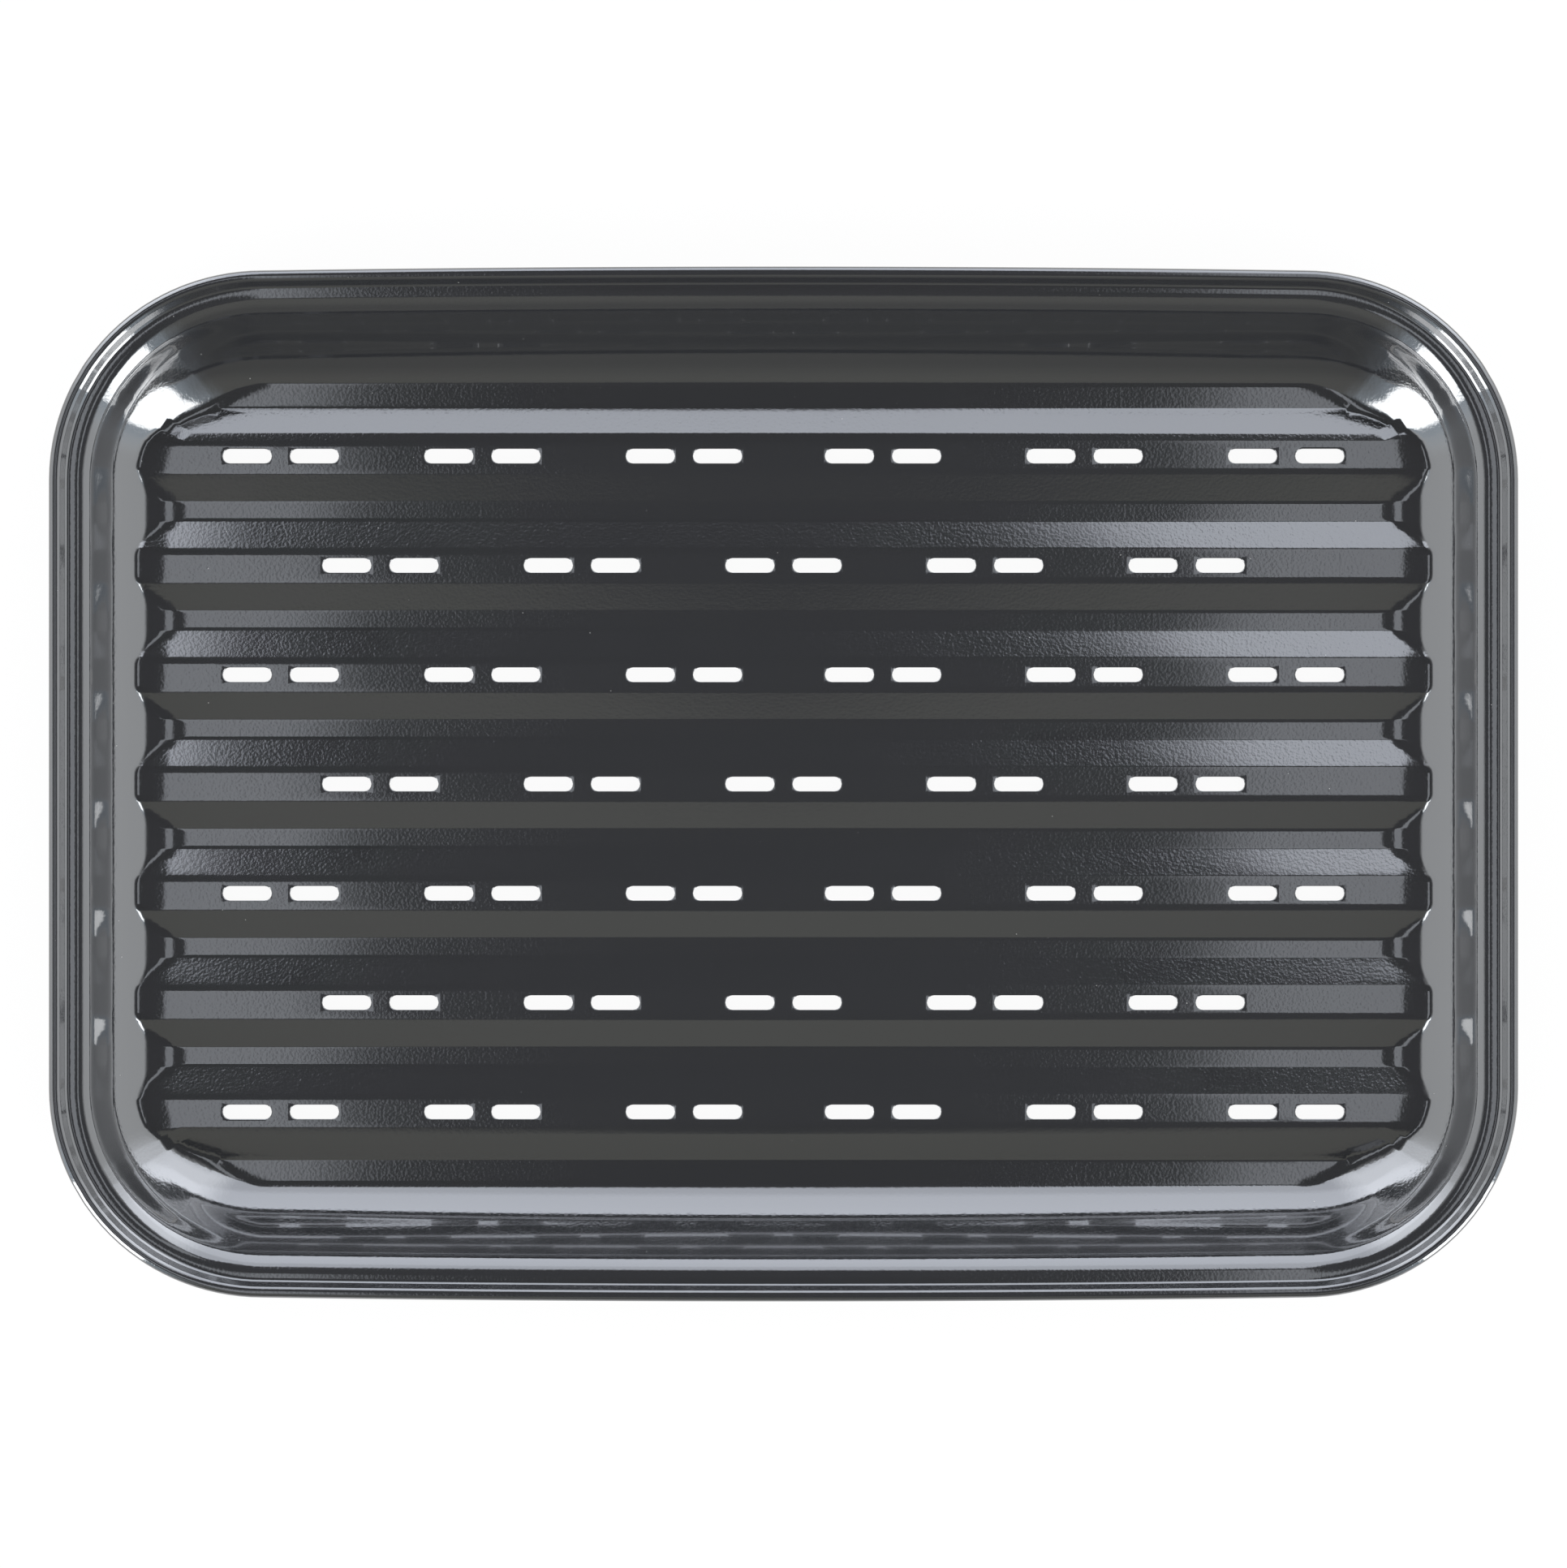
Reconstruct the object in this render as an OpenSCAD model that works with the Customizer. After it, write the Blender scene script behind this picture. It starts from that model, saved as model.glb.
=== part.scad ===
// Grill plate: a shallow tray pressed from one sheet of steel and enamelled all over.
// The long side runs along X. The underside of the two long gutters stands on Z = 0.

/* [Tray] */
// Length over the rolled edge
tray_l = 340; // [300:1:400]
// Width over the rolled edge
tray_w = 239.5; // [236:0.5:300]
// Height from the underside of the gutters to the top of the rolled edge
tray_h = 22; // [17:0.5:25]
// Radius of the tray's corners, at the outside of the rolled edge
corner_r = 49.5; // [40:0.5:65]
// Thickness of the sheet with its enamel
sheet_t = 0.8; // [0.6:0.1:1.1]

/* [Rolled edge] */
// Outside diameter of the roll
roll_d = 3; // [2.6:0.1:4]
// Height of the roll's top above the ledge
roll_rise = 2.4; // [2:0.1:3.2]
// Slope of the short riser between the ledge and the roll
riser_angle = 56; // [45:1:75]
// Radius of the hollow where the riser meets the ledge
riser_foot_r = 1.2; // [0.4:0.1:1.4]
// How far the sheet is curled over, from the top of the roll
curl_turn = 215; // [180:5:230]

/* [Ledge and wall] */
// Width of the flat ledge inside the rolled edge
ledge_w = 1; // [1:0.1:3.5]
// Radius of the shoulder from the ledge down into the wall
shoulder_r = 6; // [2:0.1:8]
// Steepest slope of the wall
wall_angle = 64; // [55:1:75]
// Radius of the hollow from the wall to the floor
wall_foot_r = 14; // [12:0.5:17]

/* [Ridges] */
// Number of ridges across the floor
ridge_count = 7; // [3:2:7]
// Distance from one ridge to the next
ridge_pitch = 25.7; // [22:0.1:26.5]
// Height of a ridge over the valley beside it
ridge_h = 2.9; // [1.4:0.1:3.5]
// Width of the flat on top of a ridge
crest_flat = 4.4; // [4:0.1:8]
// Radius beside the flat on top
crest_r = 6; // [4:0.5:12]
// Width of the flat between two ridges
valley_flat = 2.9; // [2:0.1:5]
// Radius beside the flat between two ridges
valley_r = 3; // [2:0.5:6]
// How much lower the gutters along the walls lie than the valleys
gutter_drop = 0.6; // [0.5:0.1:1.5]
// Width of the outermost slopes, from the flat on top to the gutter
outer_slope_w = 9.8; // [8:0.1:10]

/* [Slots] */
// Length of a slot
slot_l = 11.5; // [8:0.1:13]
// Width of a slot
slot_w = 3.4; // [2.5:0.1:4.2]
// Distance between the two slots of a pair
slot_pitch = 15.8; // [14:0.1:17]
// Distance from one pair to the next
pair_pitch = 47.4; // [40:0.1:49]
// Distance between the two pairs nearest the middle, in a row with an even number of pairs
middle_pitch = 46.8; // [40:0.1:49]
// Number of pairs in the first, third, fifth and seventh row
outer_pairs = 6; // [2:2:6]
// Number of pairs in the rows between those
inner_pairs = 5; // [1:2:5]

/* [Hidden] */
// Fineness of the curves
round_fn = 48;
slot_fn = 16;
crest_steps = 5;
valley_steps = 4;
roll_steps = 36;
hollow_steps = 6;
// How far a cut passes the face that it opens
cut = 1;
roll_r = roll_d / 2;
ledge_z = tray_h - roll_rise;
floor_z = sheet_t;
crest_z = floor_z + gutter_drop + ridge_h;
// Distances inwards from the tray's outside edge
riser_run = (roll_rise - (roll_r + riser_foot_r) * (1 - cos(riser_angle))) / tan(riser_angle);
riser_foot_u = roll_r + (roll_r + riser_foot_r) * sin(riser_angle) + riser_run;
shoulder_u = riser_foot_u + ledge_w;
join_u = shoulder_u - ledge_w / 2;
wall_drop = ledge_z - floor_z - (shoulder_r + wall_foot_r) * (1 - cos(wall_angle));
wall_foot_u = shoulder_u + (shoulder_r + wall_foot_r) * sin(wall_angle) + wall_drop / tan(wall_angle);
// The straight stretches between the corners
straight_l = tray_l - 2 * corner_r;
straight_w = tray_w - 2 * corner_r;

// A slope w wide and h high leaves a crest radius and enters a valley radius.
// Where both radii would not fit, they shrink together.
function fit(w, h) = min(1, (w * w + h * h) / (2 * h * (crest_r + valley_r)));
function slope_angle(w, h, r) =
    atan2(w, r - h) - atan2(sqrt(max(0, w * w + h * h - 2 * r * h)), r);

// Points along an arc round c, from angle a to angle b
function arc_points(c, r, a, b, steps) =
    [for (k = [0 : steps]) c + r * [cos(a + (b - a) * k / steps), sin(a + (b - a) * k / steps)]];

// One slope from the crest to the valley, for a surface that lies a depth o below the
// upper face of the sheet
function slope_points(w, h, o) =
    let (rc = fit(w, h) * crest_r, rv = fit(w, h) * valley_r, a = slope_angle(w, h, rc + rv))
    concat(
        arc_points([0, -rc], rc - o, 90, 90 - a, crest_steps),
        arc_points([w, rv - h], rv + o, 270 - a, 270, valley_steps)
    );

function inner_slope_w() = (ridge_pitch - crest_flat - valley_flat) / 2;
function ridge_y(i) = (i - (ridge_count - 1) / 2) * ridge_pitch;
// Width and height of the slope on one side of ridge i: side is -1 or 1
function side_slope(i, side) =
    (side < 0 && i == 0) || (side > 0 && i == ridge_count - 1)
    ? [outer_slope_w, ridge_h + gutter_drop]
    : [inner_slope_w(), ridge_h];
function side_points(i, side, o) =
    [for (p = slope_points(side_slope(i, side)[0], side_slope(i, side)[1], o))
        [ridge_y(i) + side * (crest_flat / 2 + p[0]), crest_z + p[1]]];
function reversed(list) = [for (i = [len(list) - 1 : -1 : 0]) list[i]];

// The wave of the floor in section, filled down to below the tray
module floor_section(o) {
    wave = [for (i = [0 : ridge_count - 1])
        each concat(reversed(side_points(i, -1, o)), side_points(i, 1, o))];
    base_z = -2 * tray_h;
    polygon(concat([[wave[0][0], base_z]], wave, [[wave[len(wave) - 1][0], base_z]]));
}

module floor_wave(o) {
    rotate([90, 0, 90])
        translate([0, 0, -tray_l / 2])
            linear_extrude(tray_l)
                floor_section(o);
}

// The room inside the tray in section, from the corner's centre outwards to out_u, for a
// surface that lies a depth o below the upper face of the sheet
module room_section(o, out_u, top_z) {
    foot = [corner_r - wall_foot_u, floor_z + wall_foot_r];
    shoulder = [corner_r - shoulder_u, ledge_z - shoulder_r];
    lean = [sin(wall_angle), -cos(wall_angle)];
    intersection() {
        difference() {
            union() {
                polygon([
                    [0, top_z],
                    [0, floor_z - o],
                    [foot[0], floor_z - o],
                    foot + (wall_foot_r + o) * lean,
                    shoulder - (shoulder_r - o) * lean,
                    [shoulder[0], ledge_z - o],
                    [corner_r - out_u, ledge_z - o],
                    [corner_r - out_u, top_z]
                ]);
                translate(foot)
                    circle(wall_foot_r + o, $fn = 2 * round_fn);
            }
            translate(shoulder)
                circle(shoulder_r - o, $fn = round_fn);
        }
        translate([0, floor_z - o])
            square([corner_r - out_u, top_z - floor_z + o]);
    }
}

// Carries a section once round the tray's outline
module corners_of_tray() {
    for (sx = [0, 1], sy = [0, 1])
        mirror([sx, 0, 0])
            mirror([0, sy, 0])
                translate([straight_l / 2, straight_w / 2, 0])
                    rotate_extrude(angle = 90, $fn = round_fn)
                        children();
}

module ends_of_tray() {
    for (sx = [0, 1])
        mirror([sx, 0, 0])
            translate([straight_l / 2, straight_w / 2, 0])
                rotate([90, 0, 0])
                    linear_extrude(straight_w)
                        children();
}

module sides_of_tray() {
    for (sy = [0, 1])
        mirror([0, sy, 0])
            translate([-straight_l / 2, straight_w / 2, 0])
                rotate([90, 0, 90])
                    linear_extrude(straight_l)
                        children();
}

module room(o, out_u, top_z) {
    corners_of_tray()
        room_section(o, out_u, top_z);
    ends_of_tray()
        room_section(o, out_u, top_z);
    sides_of_tray()
        room_section(o, out_u, top_z);
    translate([-straight_l / 2, -straight_w / 2, floor_z - o])
        cube([straight_l, straight_w, top_z - floor_z + o]);
}

// The rolled edge in section: the curl, the riser and a strip of ledge, drawn as one
// outline along the outer face and back along the inner one
module rolled_edge_section() {
    up = 90 + riser_angle;
    roll = [corner_r - roll_r, tray_h - roll_r];
    hollow = [corner_r - riser_foot_u, ledge_z + riser_foot_r];
    polygon(concat(
        arc_points(roll, roll_r, 90 - curl_turn, up, roll_steps),
        arc_points(hollow, riser_foot_r, up - 180, -90, hollow_steps),
        [[corner_r - join_u, ledge_z], [corner_r - join_u, ledge_z - sheet_t]],
        arc_points(hollow, riser_foot_r + sheet_t, -90, up - 180, hollow_steps),
        arc_points(roll, roll_r - sheet_t, up, 90 - curl_turn, roll_steps)
    ));
}

// One slot through the floor, seen from above
module slot() {
    reach = (slot_l - slot_w) / 2;
    square([2 * reach, slot_w], center = true);
    for (side = [-1, 1])
        translate([side * reach, 0])
            circle(d = slot_w, $fn = slot_fn);
}

module slot_row(pairs) {
    for (k = [0 : pairs - 1]) {
        step = k - (pairs - 1) / 2;
        trim = pairs % 2 == 0 ? sign(step) * (middle_pitch - pair_pitch) / 2 : 0;
        for (side = [-1, 1])
            translate([step * pair_pitch + trim + side * slot_pitch / 2, 0])
                slot();
    }
}

module slots() {
    translate([0, 0, floor_z - sheet_t - cut])
        linear_extrude(crest_z - floor_z + sheet_t + 2 * cut)
            for (i = [0 : ridge_count - 1])
                translate([0, ridge_y(i)])
                    slot_row(i % 2 == 0 ? outer_pairs : inner_pairs);
}

module pressed_tray() {
    difference() {
        room(sheet_t, join_u, ledge_z + cut);
        floor_wave(sheet_t);
        difference() {
            room(0, join_u - cut, ledge_z + 2 * cut);
            floor_wave(0);
        }
        slots();
    }
}

module rolled_edge() {
    corners_of_tray()
        rolled_edge_section();
    ends_of_tray()
        rolled_edge_section();
    sides_of_tray()
        rolled_edge_section();
}

module grill_plate() {
    color("#1d1f22")
        union() {
            pressed_tray();
            rolled_edge();
        }
}

grill_plate();
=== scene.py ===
import math

import bmesh
import bpy
from mathutils import Matrix, Vector


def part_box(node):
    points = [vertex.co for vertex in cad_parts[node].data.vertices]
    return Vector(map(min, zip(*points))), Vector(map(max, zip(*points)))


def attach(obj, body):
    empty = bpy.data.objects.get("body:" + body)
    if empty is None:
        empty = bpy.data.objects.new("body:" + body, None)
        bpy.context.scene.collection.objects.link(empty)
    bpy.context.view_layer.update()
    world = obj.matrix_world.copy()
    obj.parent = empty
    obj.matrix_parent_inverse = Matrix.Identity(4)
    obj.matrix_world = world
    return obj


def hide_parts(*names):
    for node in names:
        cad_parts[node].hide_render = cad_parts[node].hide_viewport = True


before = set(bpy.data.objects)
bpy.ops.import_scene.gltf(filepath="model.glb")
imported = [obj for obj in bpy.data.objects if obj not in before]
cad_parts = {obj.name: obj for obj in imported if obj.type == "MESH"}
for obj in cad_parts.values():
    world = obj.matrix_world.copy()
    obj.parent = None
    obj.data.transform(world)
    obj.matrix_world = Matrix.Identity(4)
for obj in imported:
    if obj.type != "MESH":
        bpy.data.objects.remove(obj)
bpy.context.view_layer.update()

# The grill plate is a shallow tray of thin steel sheet. It is pressed with seven ridges along its
# length, punched with slots through the tops of the ridges, rolled over at its edge for stiffness,
# and then enamelled all over in glossy black.
mm = 0.001
half_l, half_w, tray_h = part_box("grill_plate")[1]
corner_r = 49.5 * mm
sheet_t = 0.8 * mm
# The corners are arcs round these places, and between them the edges run straight.
corner_x, corner_y = half_l - corner_r, half_w - corner_r

roll_r = 1.5 * mm
roll_rise = 2.4 * mm
riser_slope = math.radians(56)
riser_foot_r = 1.2 * mm
curl_turn = math.radians(215)
ledge_z = tray_h - roll_rise
riser_run = (roll_rise - (roll_r + riser_foot_r) * (1 - math.cos(riser_slope))) / math.tan(riser_slope)
# Distances inwards from the outside edge are called u.
riser_foot_u = roll_r + (roll_r + riser_foot_r) * math.sin(riser_slope) + riser_run

ridge_count = 7
ridge_pitch = 25.7 * mm
ridge_h = 2.9 * mm
crest_flat = 4.4 * mm
crest_r = 6 * mm
valley_flat = 2.9 * mm
valley_r = 3 * mm
gutter_drop = 0.6 * mm
outer_slope_w = 9.8 * mm
inner_slope_w = (ridge_pitch - crest_flat - valley_flat) / 2
# A hair more than the thickness, so that no bend of the thickened sheet dips below the ground.
gutter_z = sheet_t + 0.035 * mm
valley_z = gutter_z + gutter_drop
crest_z = valley_z + ridge_h
outer_ridge_y = ridge_pitch * (ridge_count - 1) / 2
gutter_y = outer_ridge_y + crest_flat / 2 + outer_slope_w


class Slope:
    """A pressed slope in section: hollow bends from its foot up, a straight, and rounded bends to its top.

    Each bend is given as its radius and the slope that it ends at. The steepest slope follows from the run
    and the rise.
    """

    def __init__(self, run, rise, hollows, shoulders):
        self.rise, self.hollows, self.shoulders = rise, hollows, shoulders
        low, high = max([slope for _, slope in hollows[:-1]], default=0), 86
        for _ in range(40):
            self.steepest = (low + high) / 2
            # Past the slope at which the bends alone make up the rise, no straight is left.
            if self.settle() > 0 and self.pieces[-1][0] > run:
                low = self.steepest
            else:
                high = self.steepest

    def settle(self):
        """Lists the pieces for that steepest slope: where each ends, its radius and the slopes it joins."""
        bends, start = [], 0
        for radius, slope in self.hollows:
            bends.append((radius, start, math.radians(min(slope, self.steepest))))
            start = bends[-1][2]
        straight = len(bends)
        for radius, slope in self.shoulders:
            bends.append((-radius, start, math.radians(slope)))
            start = bends[-1][2]
        rest = self.rise - sum(r * (math.cos(a) - math.cos(b)) for r, a, b in bends)
        bends.insert(straight, (None, rest / math.tan(math.radians(self.steepest)), bends[straight - 1][2]))
        run, self.pieces = 0, []
        for radius, start, end in bends:
            run += start if radius is None else radius * (math.sin(end) - math.sin(start))
            self.pieces.append((run, radius, start, end))
        return rest

    def height(self, t):
        """How far the slope has risen at a distance t from its foot."""
        z, begun = 0, 0
        if t < 0:
            return 0
        if t > self.pieces[-1][0]:
            return self.rise
        for run, radius, start, end in self.pieces:
            here = min(t, run) - begun
            if radius is None:
                z += here * math.tan(end)
            else:
                across = math.sin(start) + here / radius
                z += radius * (math.cos(start) - math.sqrt(max(0, 1 - across ** 2)))
            if t < run:
                break
            begun = run
        return z

    def lines(self, step):
        """Where the slope is scribed: at every so many degrees of each bend, and where its straight ends."""
        places = [0]
        for run, radius, start, end in self.pieces:
            if radius is None:
                places.append(run)
                continue
            count = max(1, round(abs(end - start) / math.radians(step)))
            begun = run - radius * (math.sin(end) - math.sin(start))
            for k in range(1, count + 1):
                slope = start + (end - start) * k / count
                places.append(begun + radius * (math.sin(slope) - math.sin(start)))
        return places


inner_slope = Slope(inner_slope_w, ridge_h, [(valley_r, 90)], [(crest_r, 0)])
outer_slope = Slope(outer_slope_w, ridge_h + gutter_drop, [(1.5 * mm, 19), (13 * mm, 90)],
                    [(4 * mm, 18), (45 * mm, 16), (5.5 * mm, 0)])


def floor_height(y):
    """The ridged floor in section, across the tray."""
    y = abs(y)
    if y > outer_ridge_y:
        return gutter_z + outer_slope.height(gutter_y - y)
    nearest = abs(y - round(y / ridge_pitch) * ridge_pitch)
    return valley_z + inner_slope.height((ridge_pitch - valley_flat) / 2 - nearest)


# The walls rise to the ledge: the long ones from the gutters, the short ones from the valleys.
side_foot_u, side_top_u = 26.55 * mm, 5.1 * mm
side_wall = Slope(side_foot_u - side_top_u, ledge_z - gutter_z, [(3.8 * mm, 28), (25 * mm, 90)],
                  [(8.4 * mm, 23), (3.5 * mm, 0)])
end_foot_u, end_top_u = 29.3 * mm, 5.9 * mm
end_hollows = [(27 * mm, 20), (4 * mm, 36), (38 * mm, 49), (4 * mm, 90)]
end_wall = Slope(end_foot_u - end_top_u, ledge_z - valley_z, end_hollows, [(4.2 * mm, 0)])


def spoke(x, y):
    """The place inside the tray from which a point is drawn out to the edge, and the way it goes."""
    base = Vector((max(-corner_x, min(corner_x, x)), max(-corner_y, min(corner_y, y))))
    out = Vector((x, y)) - base
    return base, out.normalized()


def reach(x, y):
    """Distance u of a point inwards from the outside edge."""
    dx, dy = abs(x) - corner_x, abs(y) - corner_y
    return corner_r - (math.hypot(dx, dy) if dx > 0 and dy > 0 else max(dx, dy))


def endness(x, y):
    """1 along the short ends, 0 along the long sides, and between them in the corners."""
    dx, dy = max(0, abs(x) - corner_x), max(0, abs(y) - corner_y)
    if dx == 0 and dy == 0:
        return 1
    return dx ** 2 / (dx ** 2 + dy ** 2)


def pressed_height(x, y):
    """The pressed sheet's upper face: the floor inside the walls, with hollows where they meet."""
    u, end = reach(x, y), endness(x, y)
    # Inside their feet the walls are carried on downwards, so that the floor is higher there.
    wall = (1 - end) * (gutter_z + side_wall.height(side_foot_u - u) - 0.3 * max(0, u - side_foot_u))
    wall += end * (valley_z + end_wall.height(end_foot_u - u) - 0.3 * max(0, u - end_foot_u))
    ridge = floor_height(y)
    # The ridges rise a little towards the short walls.
    lift_from, lift_over, lift = 25.6 * mm, 7.3 * mm, 0.42 * mm
    ridge += end * lift * max(0, (lift_from - u) / lift_over) ** 2 * max(0, (ridge - valley_z) / ridge_h)
    raised = max(0, min(1, (ridge - valley_z) / mm))
    soften = (0.02 + 0.5 * end * raised) * mm
    near = max(0, soften - abs(wall - ridge)) / soften
    return max(wall, ridge) + near ** 2 * soften / 4


# The blank: half of the floor as flat sheet, scribed where its bends and slots come.
blank_x, blank_y, blank_cut = 143 * mm, 92.75 * mm, 14 * mm
plate = bmesh.new()
bmesh.ops.create_grid(plate, x_segments=1, y_segments=1, size=0.5)
bmesh.ops.translate(plate, vec=(0.5, 0, 0), verts=plate.verts)
bmesh.ops.scale(plate, vec=(blank_x, 2 * blank_y, 1), verts=plate.verts)


def scribe(across, places, low, high):
    """Cuts the faces between two corners along lines: across is X or Y, and places says where on it."""
    axis = Vector((across == "X", across == "Y", 0))
    for place in places:
        faces = []
        for face in plate.faces:
            middle = face.calc_center_bounds()
            if low[0] < middle.x < high[0] and low[1] < middle.y < high[1]:
                faces.append(face)
        edges = {e for f in faces for e in f.edges}
        verts = {v for f in faces for v in f.verts}
        cut = {"plane_co": axis * place, "plane_no": axis}
        bmesh.ops.bisect_plane(plate, geom=[*verts, *edges, *faces], dist=1e-7, **cut)


whole = ((0, -blank_y), (blank_x, blank_y))
ridge_lines, slope_lines = [], []
for ridge in range(ridge_count):
    ridge_y = ridge_pitch * ridge - outer_ridge_y
    for side in (-1, 1):
        outermost = abs(ridge_y + side * ridge_pitch) > outer_ridge_y + ridge_pitch / 2
        slope = outer_slope if outermost else inner_slope
        foot = ridge_y + side * (crest_flat / 2 + slope.pieces[-1][0])
        ridge_lines += [foot - side * t for t in slope.lines(4.5)]
        # The straight between the bends is scribed closer where it runs out into the wall.
        for k, piece in enumerate(slope.pieces):
            if piece[1] is None:
                start, end = slope.pieces[k - 1][0], piece[0]
                slope_lines += [foot - side * (start + (end - start) * j / 5) for j in range(1, 5)]
    slope_lines += [ridge_y + t * mm for t in (-1.1, 0, 1.1)]
scribe("Y", ridge_lines, *whole)

# Slots: a cell is scribed round each and taken out, and the sheet is joined again to the slot's edge.
slot_l, slot_w = 11.5 * mm, 3.4 * mm
slot_pitch, pair_pitch, middle_pitch = 15.8 * mm, 47.4 * mm, 46.8 * mm
cell_half = (slot_l + crest_flat - slot_w) / 2
slot_places = []
for ridge in range(ridge_count):
    ridge_y = ridge_pitch * ridge - outer_ridge_y
    if ridge % 2:
        pairs = [pair_pitch * k for k in range(3)]
    else:
        pairs = [middle_pitch / 2 + pair_pitch * k for k in range(3)]
    for pair in pairs:
        for side in (-1, 1):
            if pair + side * slot_pitch > 0:
                slot_places.append((pair + side * slot_pitch / 2, ridge_y))
crest_end = max(x for x, _ in slot_places) + cell_half
for x, y in slot_places:
    crest = (0, y - crest_flat / 2), (blank_x, y + crest_flat / 2)
    scribe("X", [x - cell_half, x + cell_half], *crest)

# Lines for the ends of the ridges and for the corners. A line across the corner cut meets one along it.
end_lines = [crest_end, 135.5 * mm, 138 * mm, 139.5 * mm, 140.5 * mm, 141.3 * mm, 142.1 * mm]
side_step = 12 * mm
cut_sum = blank_x + blank_y - blank_cut
gutter_lines = [gutter_y + (blank_y - gutter_y) * k / 5 for k in range(5)]
meet_lines = [y for y in {*ridge_lines, *gutter_lines, *slope_lines} if y > blank_y - blank_cut + 1e-6]
side_lines = [side_step * k for k in range(1, 10)]
corner_lines = [corner_x + (blank_x - blank_cut - corner_x) * k / 7 for k in range(8)]
scribe("Y", [*gutter_lines, *(-y for y in gutter_lines)], *whole)
crest_top = outer_ridge_y + crest_flat / 2
for side in (-1, 1):
    gutter = sorted((side * gutter_y, side * blank_y))
    outside = sorted((side * crest_top, side * blank_y))
    beyond = sorted((side * (outer_ridge_y - crest_flat / 2), side * blank_y))
    scribe("X", side_lines, (0, gutter[0]), (blank_x, gutter[1]))
    scribe("X", corner_lines[:1], (0, outside[0]), (blank_x, outside[1]))
    scribe("X", [*corner_lines[1:], *(cut_sum - y for y in meet_lines)], (corner_x, outside[0]),
           (blank_x, outside[1]))
    scribe("X", [cut_sum - y for y in meet_lines if cut_sum - y > crest_end], (crest_end, beyond[0]),
           (blank_x, beyond[1]))
inner = outer_ridge_y - crest_flat / 2
scribe("X", end_lines[:1], (0, -inner), (blank_x, inner))
scribe("X", end_lines[1:], (crest_end, -inner), (blank_x, inner))
scribe("Y", slope_lines, (crest_end, -blank_y), (blank_x, blank_y))
for side in (-1, 1):
    everything = [*plate.verts, *plate.edges, *plate.faces]
    bmesh.ops.bisect_plane(plate, geom=everything, dist=1e-6, clear_outer=True, plane_co=(cut_sum, 0, 0),
                           plane_no=(1, side, 0))

# A cell is the one large face with its middle at the slot's.
near_middle, least_cell = 0.1 * mm, 40 * mm * mm
for x, y in slot_places:
    middle = Vector((x, y, 0))
    cell = [f for f in plate.faces
            if (f.calc_center_bounds() - middle).length < near_middle and f.calc_area() > least_cell]
    rim = list(cell[0].edges)
    bmesh.ops.delete(plate, geom=cell, context="FACES_ONLY")
    bend = (slot_l - slot_w) / 2
    ends = []
    for side in (-1, 1):
        start = bmesh.ops.create_vert(plate, co=(x + side * bend, y - side * slot_w / 2, 0))["vert"][0]
        arc = bmesh.ops.spin(plate, geom=[start], cent=(x + side * bend, y, 0), axis=(0, 0, 1),
                             angle=math.pi, steps=8, use_merge=False)["geom_last"]
        ends.append((start, arc[0]))
    bmesh.ops.contextual_create(plate, geom=[ends[0][1], ends[1][0]])
    bmesh.ops.contextual_create(plate, geom=[ends[1][1], ends[0][0]])
    loop = [e for e in plate.edges if e.is_wire]
    bmesh.ops.triangle_fill(plate, edges=[*rim, *loop], use_beauty=True, use_dissolve=False,
                            normal=(0, 0, 1))


def rim_section():
    """The riser's hollow and the roll in section, as u and height."""
    section = []
    hollow_steps, roll_steps = 3, 18
    for k in range(hollow_steps + 1):
        turn = riser_slope * k / hollow_steps
        rise_here = riser_foot_r * (1 - math.cos(turn))
        section.append((riser_foot_u - riser_foot_r * math.sin(turn), ledge_z + rise_here))
    for k in range(roll_steps + 1):
        turn = riser_slope - (riser_slope + curl_turn) * k / roll_steps
        section.append((roll_r + roll_r * math.sin(turn), tray_h - roll_r + roll_r * math.cos(turn)))
    return section


# The walls, the ledge and the rolled edge are drawn out from the blank's edge, ring by ring.
edge = [e for e in plate.edges if e.is_boundary and max(v.co.x for v in e.verts) > 1e-6
        and max(reach(v.co.x, v.co.y) for v in e.verts) < 28 * mm]
first_u = 24.6 * mm
rings = [("share", 4), ("share", 3), ("share", 2), ("share", 1)]
for start, end, count in ((first_u, 16 * mm, 16), (16 * mm, 11 * mm, 7), (11 * mm, 5 * mm, 12)):
    rings += [("u", start - (start - end) * k / count) for k in range(1, count + 1)]
rings += [("rim", station) for station in rim_section()]
for kind, value in rings:
    made = bmesh.ops.extrude_edge_only(plate, edges=edge)["geom"]
    fresh = {g for g in made if isinstance(g, bmesh.types.BMVert)}
    edge = [g for g in made if isinstance(g, bmesh.types.BMEdge) and set(g.verts) <= fresh]
    for vert in fresh:
        base, out = spoke(vert.co.x, vert.co.y)
        u = reach(vert.co.x, vert.co.y)
        if kind == "share":
            u += (first_u - u) / value
        elif kind == "u":
            u = value
        else:
            u, vert.co.z = value
        vert.co.xy = base + out * (corner_r - u)

for vert in plate.verts:
    if reach(vert.co.x, vert.co.y) > riser_foot_u + 1e-6:
        vert.co.z = pressed_height(vert.co.x, vert.co.y)

# The long sides bow outwards a little between the corners.
bow = 0.9 * mm
for vert in plate.verts:
    u = reach(vert.co.x, vert.co.y)
    base, out = spoke(vert.co.x, vert.co.y)
    share = max(0, min(1, (26 * mm - u) / (14 * mm)))
    along = min(1, abs(vert.co.x) / corner_x)
    vert.co.y -= bow * share * share * (3 - 2 * share) * along ** 2 * out.y * abs(out.y)

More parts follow.
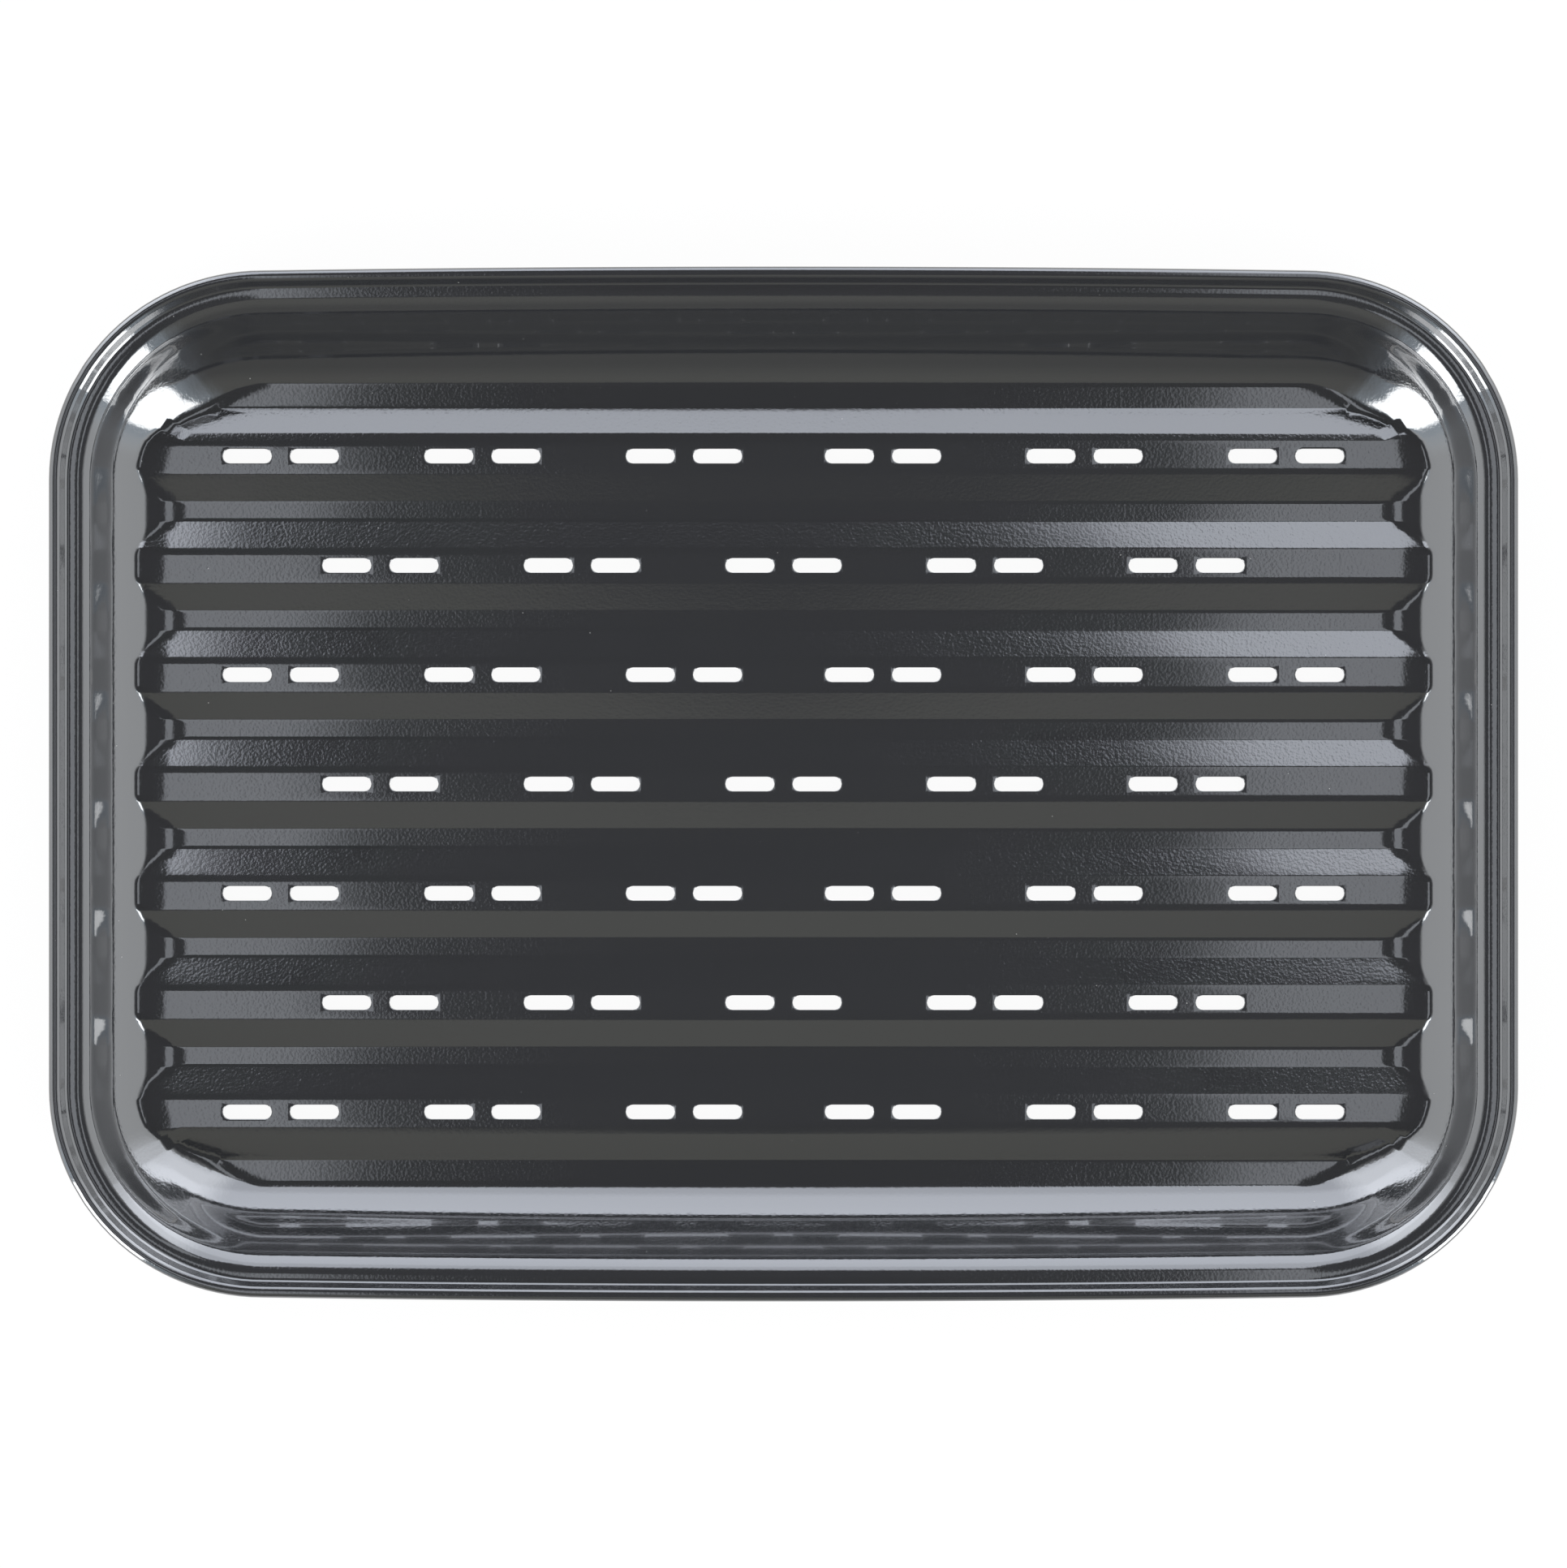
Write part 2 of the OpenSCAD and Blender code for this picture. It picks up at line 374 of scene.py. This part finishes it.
bmesh.ops.mirror(plate, geom=[*plate.verts, *plate.edges, *plate.faces], matrix=Matrix.Identity(4), axis="X",
                 merge_dist=1e-6)
bmesh.ops.remove_doubles(plate, verts=plate.verts, dist=1e-6)
bmesh.ops.recalc_face_normals(plate, faces=plate.faces)
if sum(f.normal.z * f.calc_area() for f in plate.faces) < 0:
    bmesh.ops.reverse_faces(plate, faces=plate.faces)
for face in plate.faces:
    face.smooth = True
mesh = bpy.data.meshes.new("enamelled_plate")
plate.to_mesh(mesh)
plate.free()
plate_object = bpy.data.objects.new("enamelled_plate", mesh)
bpy.context.scene.collection.objects.link(plate_object)
thickness = plate_object.modifiers.new("sheet", "SOLIDIFY")
thickness.thickness = sheet_t
thickness.offset = -1
thickness.use_even_offset = True
thickness.use_quality_normals = True
rounding = plate_object.modifiers.new("slot edges", "BEVEL")
rounding.width = 0.2 * mm
rounding.segments = 2
rounding.limit_method = "ANGLE"
rounding.angle_limit = math.radians(50)
shading = plate_object.modifiers.new("shading", "WEIGHTED_NORMAL")
shading.mode = "FACE_AREA_WITH_ANGLE"


class Wire:
    """One output of a shader node. Arithmetic on it adds the Math nodes that work it out."""

    def __init__(self, socket):
        self.socket = socket

    def node(self, kind, settings=None, sockets=None, output=0):
        """A node of that kind in the same tree: its settings first, then values or wires for its sockets."""
        tree = self.socket.id_data
        made = tree.nodes.new(kind)
        for name, value in (settings or {}).items():
            setattr(made, name, value)
        for name, value in (sockets or {}).items():
            if isinstance(value, Wire):
                tree.links.new(value.socket, made.inputs[name])
            else:
                made.inputs[name].default_value = value
        return Wire(made.outputs[output])

    def math(self, operation, *others):
        return self.node("ShaderNodeMath", {"operation": operation}, dict(enumerate((self, *others))))

    def __add__(self, other):
        return self.math("ADD", other)

    __radd__ = __add__

    def __sub__(self, other):
        return self.math("SUBTRACT", other)

    def __rsub__(self, other):
        return self.node("ShaderNodeMath", {"operation": "SUBTRACT"}, {0: other, 1: self})

    def __mul__(self, other):
        return self.math("MULTIPLY", other)

    __rmul__ = __mul__

    def __truediv__(self, other):
        return self.math("DIVIDE", other)

    def __lt__(self, other):
        return self.math("LESS_THAN", other)


enamel = bpy.data.materials.new("black_enamel")
enamel.use_nodes = True
shader = enamel.node_tree.nodes["Principled BSDF"]
place = Wire(enamel.node_tree.nodes.new("ShaderNodeTexCoord").outputs["Object"])
# Fired enamel has a fine orange peel, and the pressed sheet under it isn't quite flat.
peel = place.node("ShaderNodeTexNoise", None, {"Vector": place, "Scale": 1 / (0.7 * mm), "Detail": 1})
waves = place.node("ShaderNodeTexNoise", None, {"Vector": place, "Scale": 1 / (16 * mm), "Detail": 1})
relief = peel * 0.021 * mm + waves * 0.03 * mm
bump = relief.node("ShaderNodeBump", None, {"Height": relief, "Distance": 1})
enamel.node_tree.links.new(bump.socket, shader.inputs["Normal"])
# A few specks of pale dust lie on it.
dust_cell = 5 * mm
dust = place.node("ShaderNodeTexVoronoi", None, {"Vector": place, "Scale": 1 / dust_cell})
cell_colour = Wire(dust.socket.node.outputs["Color"])
lot = cell_colour.node("ShaderNodeSeparateXYZ", None, {0: cell_colour})
speck = (dust < lot * 0.03) * 0.5
black, pale = (0.014, 0.0145, 0.016, 1), (0.5, 0.5, 0.48, 1)
tone = speck.node("ShaderNodeMix", {"data_type": "RGBA"}, {0: speck, 6: black, 7: pale}, output=2)
enamel.node_tree.links.new(tone.socket, shader.inputs["Base Color"])
rough = 0.07 + 0.03 * waves + 0.4 * speck
enamel.node_tree.links.new(rough.socket, shader.inputs["Roughness"])
shader.inputs["IOR"].default_value = 1.75
shader.inputs["Coat Weight"].default_value = 1
shader.inputs["Coat IOR"].default_value = 1.75
shader.inputs["Coat Roughness"].default_value = 0.04
mesh.materials.append(enamel)
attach(plate_object, "root")
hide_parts("grill_plate")

# The studio is a dark room that the enamel mirrors: a broad screen behind the tray, two lamps in front
# at its sides, paler walls to the left and right, and two strips beside the camera. Diffuse surfaces
# see a plain even light, so that colours render as they are written.
world = bpy.data.worlds.new("studio")
bpy.context.scene.world = world
world.use_nodes = True
background = world.node_tree.nodes["Background"]
direction = Wire(world.node_tree.nodes.new("ShaderNodeTexCoord").outputs["Generated"])
parts = direction.node("ShaderNodeSeparateXYZ", None, {0: direction}).socket.node.outputs
dx, dy, dz = (Wire(s) for s in parts)
# Directions are laid out flat round the point overhead, where one at a distance of 1 is level. The small
# addition keeps the one straight down from dividing by zero.
above = 1.001 + dz
across = dx / above
up = dy / above
aside = (across + 0.001).math("ABSOLUTE")
out = (across * across + up * up).math("SQRT")
# The turn below the line through left and right, in degrees.
turn = (0 - up).math("ARCTAN2", aside) * math.degrees(1)


def lean(degrees):
    """How far from the point overhead a direction lies that leans so much."""
    return math.tan(math.radians(degrees) / 2)


def rise(value, low, high):
    """0 below the lower limit and 1 above the higher one, with a smooth step between them."""
    return value.node("ShaderNodeMapRange", {"interpolation_type": "SMOOTHSTEP"},
                      {"Value": value, "From Min": low, "From Max": high})


def between(value, low, high, soft):
    """1 where a value is between two limits, with edges that soft wide."""
    return rise(value, low - soft / 2, low + soft / 2) * (1 - rise(value, high - soft / 2, high + soft / 2))


left_strip = between(across, -0.115, -0.052, 0.012) * between(up, -0.3, 0.068, 0.03)
right_strip = between(across, 0.05, 0.115, 0.012) * between(up, -0.068, 0.315, 0.03)
walls = rise(out, lean(30), lean(50)) * between(turn, -70, 22, 16)
screen_edge = 0.376 - 0.5 * (aside - 0.05).math("MAXIMUM", 0)
screen = rise(up - screen_edge, -0.006, 0.006) * rise(0 - turn, 22, 48)
# A dark shape stands before it, upright on the left and sloping away on the right.
past = (across + 0.005).math("MAXIMUM", 0)
figure_top = 0.455 - 20 * past * past + 0.25 * (across + 0.005).math("MINIMUM", 0)
figure = rise(across, -0.083, -0.071) * (1 - rise(up - figure_top, -0.02, 0.03))
screen = screen * (1 - figure) * (0.8 + 0.2 * rise(up, lean(56), lean(64)))
lamps = between(turn, 28.5, 52, 3) * rise(out, 0.33, 0.37)
spill = (rise(turn, 12, 28) * (1 - rise(turn, 48, 70))) * rise(out, 0.28, 0.4)
front = rise(turn, 45, 70) * rise(0.6 * aside - up, 0.355, 0.395)
front = front * (1 - 0.5 * rise(0 - up, lean(50), lean(75)))


def tinted(level, colour):
    return level.node("ShaderNodeVectorMath", {"operation": "SCALE"}, {0: colour, "Scale": level})


def plus(one, other):
    return one.node("ShaderNodeVectorMath", {"operation": "ADD"}, {0: one, 1: other})


room_level = 0.085
light = tinted(room_level + 0 * screen, (1, 1, 1))
for share, level, colour in (
    (left_strip, 0.95, (0.95, 1, 1.08)),
    (right_strip, 0.9, (0.95, 1, 1.08)),
    (walls, 1.5, (0.97, 1, 1.03)),
    (screen, 2.8, (0.93, 0.98, 1.09)),
    (spill, 1.2, (0.85, 1, 1.15)),
    (lamps, 7, (1, 1, 1)),
    (front, 0.225, (1.02, 1.03, 0.88)),
):
    light = plus(light, tinted(share * level, colour))
plain = Wire(world.node_tree.nodes.new("ShaderNodeLightPath").outputs["Is Diffuse Ray"])
light = light.node("ShaderNodeMix", {"data_type": "VECTOR"}, {0: plain, 4: light, 5: (1, 1, 1)}, output=1)
world.node_tree.links.new(light.socket, background.inputs["Color"])
background.inputs["Strength"].default_value = 1

floor_size = 30
bpy.ops.mesh.primitive_plane_add(size=floor_size)
ground = bpy.context.object
ground.name = "floor"
paper = bpy.data.materials.new("white_paper")
paper.use_nodes = True
tree = paper.node_tree
paper_shader = tree.nodes["Principled BSDF"]
paper_shader.inputs["Base Color"].default_value = (0.9, 0.9, 0.9, 1)
paper_shader.inputs["Roughness"].default_value = 0.9
paper_shader.inputs["Specular IOR Level"].default_value = 0
path = tree.nodes.new("ShaderNodeLightPath")
seen = Wire(path.outputs["Is Camera Ray"]).math("MAXIMUM", Wire(path.outputs["Is Glossy Ray"]))
seen = seen.math("MAXIMUM", Wire(path.outputs["Is Transmission Ray"]))
glow = seen.node("ShaderNodeEmission", None, {"Color": (1, 1, 1, 1), "Strength": 1})
mixed = seen.node("ShaderNodeMixShader", None, {0: seen * 0.94, 1: Wire(paper_shader.outputs[0]), 2: glow})
tree.links.new(mixed.socket, tree.nodes["Material Output"].inputs["Surface"])
ground.data.materials.append(paper)

# The camera looks straight down from one metre above the rolled edge. There one pixel is this wide.
photo_px = 1931
px_size = 0.18759 * mm
camera_rise = 1.0
camera = bpy.data.objects.new("camera", bpy.data.cameras.new("camera"))
bpy.context.scene.collection.objects.link(camera)
camera.location = (0, 0, tray_h + camera_rise)
camera.data.lens = camera.data.sensor_width * camera_rise / (photo_px * px_size)
bpy.context.scene.camera = camera

bpy.context.scene.view_settings.view_transform = "Standard"
